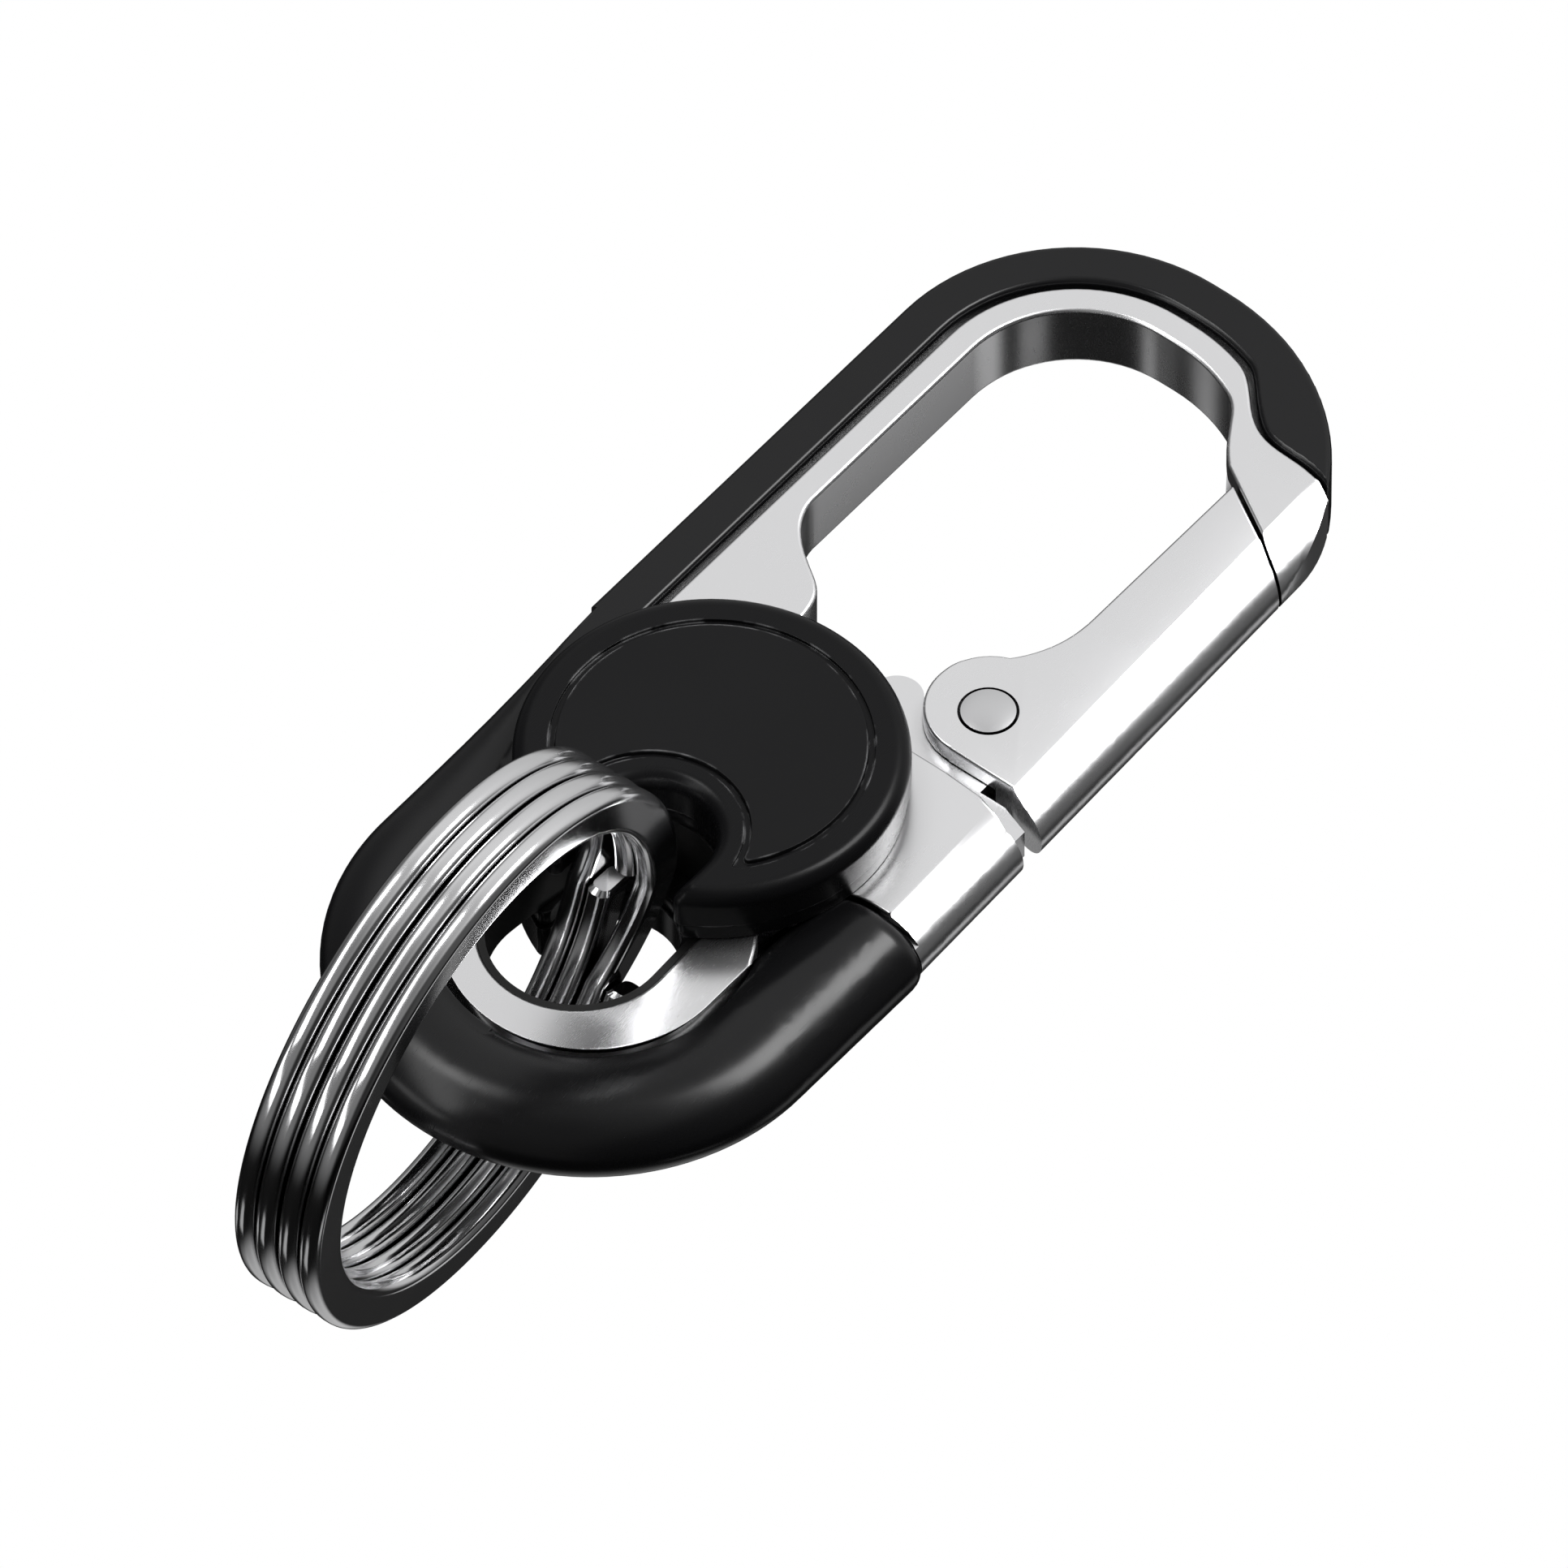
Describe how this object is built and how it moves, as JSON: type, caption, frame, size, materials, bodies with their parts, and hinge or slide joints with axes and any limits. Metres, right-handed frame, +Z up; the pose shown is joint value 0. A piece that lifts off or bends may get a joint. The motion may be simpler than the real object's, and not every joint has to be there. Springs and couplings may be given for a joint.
{
  "type": "carabiner keyring",
  "caption": "Pocket carabiner key holder: chrome frame in a dark outer shell, sprung gate, round bitten disc and split rings through an eye at the foot.",
  "frame": {"origin": "the hang point: middle of the opening's top arch, at mid thickness", "axes": "+Z up when it hangs, +X towards the gate, -Y out of the front face"},
  "size_m": [0.0306, 0.0351, 0.0894],
  "materials": {
    "chrome_casting": "polished chrome plate",
    "dark_shell": "gloss black enamel",
    "dark_disc": "gloss black enamel",
    "dark_inlay": "satin black enamel",
    "dark_liner": "moulded black",
    "rivet_steel": "bright plated",
    "spring_steel": "plain spring wire",
    "ring_steel": "nickel-plated wire"
  },
  "bodies": {
    "clip_body": {"frame": "chrome_casting", "outer_shell": "dark_shell", "front_disc_cap": "dark_disc", "front_disc_inlay": "dark_inlay", "front_disc_flange": "dark_disc", "rear_disc_cap": "dark_disc", "rear_disc_inlay": "dark_inlay", "rear_disc_flange": "dark_disc", "eye_liner": "dark_liner", "disc_screws": "rivet_steel", "shell_dowels": "rivet_steel"},
    "gate_assembly": {"gate": "chrome_casting", "gate_rivet": "rivet_steel", "gate_bush": "rivet_steel", "gate_spring": "spring_steel"},
    "inner_ring": {"split_ring_inner": "ring_steel"},
    "outer_ring": {"split_ring_outer": "ring_steel"}
  },
  "joints": [
    {"name": "gate_hinge", "type": "hinge", "parent": "clip_body", "child": "gate_assembly", "pos_m": [0.00865, 0, -0.0281], "axis": [0, -1, 0], "range_deg": [0, 24], "stiffness_Nm_per_rad": 0.02, "springref_deg": -20.05},
    {"name": "inner_ring_swing", "type": "hinge", "parent": "clip_body", "child": "inner_ring", "pos_m": [0.0006, -0.00425, -0.0509], "axis": [0.9962, 0.0697, 0.0523], "range_deg": [-20, 20]},
    {"name": "outer_ring_swing", "type": "hinge", "parent": "clip_body", "child": "outer_ring", "pos_m": [0.0006, -0.00425, -0.0509], "axis": [0.9962, 0.0697, 0.0523], "range_deg": [-20, 20]}
  ]
}
